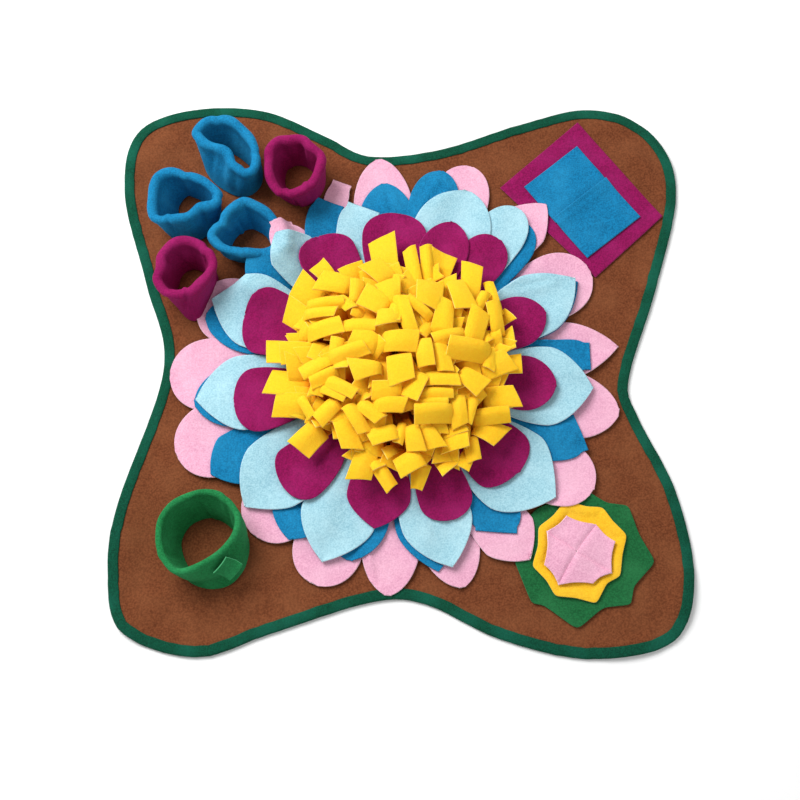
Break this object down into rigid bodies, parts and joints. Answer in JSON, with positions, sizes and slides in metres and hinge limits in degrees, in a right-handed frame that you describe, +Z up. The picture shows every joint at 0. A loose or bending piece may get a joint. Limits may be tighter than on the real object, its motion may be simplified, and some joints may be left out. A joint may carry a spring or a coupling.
{
  "type": "snuffle mat",
  "caption": "Lobed fleece foraging mat for pets: a layered flower round a tuft of strips, open pocket tubes and flap patches that hide dry treats.",
  "frame": {"origin": "middle of the mat's box, on the floor that the ground's underside lies on", "axes": "+Z up from the floor through the flower, -Y towards the edge nearest the viewer with the cup on the left and the leaf patch on the right, +X to the viewer's right"},
  "size_m": [0.65, 0.6568, 0.0835],
  "materials": {
    "brown_fleece": "napped polyester fleece, matt",
    "binding_tape": "brushed folded tape, matt",
    "cup_green_fleece": "napped polyester fleece, matt",
    "leaf_green_fleece": "napped polyester fleece, matt",
    "octagon_yellow_fleece": "napped polyester fleece, matt",
    "tuft_yellow_fleece": "napped polyester fleece, matt",
    "magenta_fleece": "napped polyester fleece, matt",
    "pink_fleece": "napped polyester fleece, matt",
    "light_blue_fleece": "napped polyester fleece, matt",
    "blue_fleece": "napped polyester fleece, matt"
  },
  "bodies": {
    "root": {"blue_flap_1": "blue_fleece", "blue_flap_2": "blue_fleece", "blue_petal_01": "blue_fleece", "blue_petal_02": "blue_fleece", "blue_petal_03": "blue_fleece", "blue_petal_04": "blue_fleece", "blue_petal_05": "blue_fleece", "blue_petal_06": "blue_fleece", "blue_petal_07": "blue_fleece", "blue_petal_08": "blue_fleece", "blue_petal_09": "blue_fleece", "blue_petal_10": "blue_fleece", "blue_petal_11": "blue_fleece", "blue_petal_12": "blue_fleece", "blue_petal_13": "blue_fleece", "blue_petal_14": "blue_fleece", "blue_petal_15": "blue_fleece", "blue_tube_a": "blue_fleece", "blue_tube_b": "blue_fleece", "blue_tube_c": "blue_fleece", "cup_tab": "cup_green_fleece", "edge_binding": "binding_tape", "green_cup": "cup_green_fleece", "leaf_patch": "leaf_green_fleece", "light_petal_01": "light_blue_fleece", "light_petal_02": "light_blue_fleece", "light_petal_03": "light_blue_fleece", "light_petal_04": "light_blue_fleece", "light_petal_05": "light_blue_fleece", "light_petal_06": "light_blue_fleece", "light_petal_07": "light_blue_fleece", "light_petal_08": "light_blue_fleece", "light_petal_09": "light_blue_fleece", "light_petal_10": "light_blue_fleece", "light_petal_11": "light_blue_fleece", "light_petal_12": "light_blue_fleece", "magenta_patch": "magenta_fleece", "magenta_petal_01": "magenta_fleece", "magenta_petal_02": "magenta_fleece", "magenta_petal_03": "magenta_fleece", "magenta_petal_04": "magenta_fleece", "magenta_petal_05": "magenta_fleece", "magenta_petal_06": "magenta_fleece", "magenta_petal_07": "magenta_fleece", "magenta_petal_08": "magenta_fleece", "magenta_petal_09": "magenta_fleece", "magenta_petal_10": "magenta_fleece", "magenta_petal_11": "magenta_fleece", "magenta_petal_12": "magenta_fleece", "magenta_tube_d": "magenta_fleece", "magenta_tube_e": "magenta_fleece", "mat_ground": "brown_fleece", "pink_flap_1": "pink_fleece", "pink_flap_2": "pink_fleece", "pink_flap_3": "pink_fleece", "pink_flap_4": "pink_fleece", "pink_petal_17": "pink_fleece", "pink_petal_ring": "pink_fleece", "yellow_octagon": "octagon_yellow_fleece", "yellow_tuft": "tuft_yellow_fleece"}
  },
  "joints": []
}
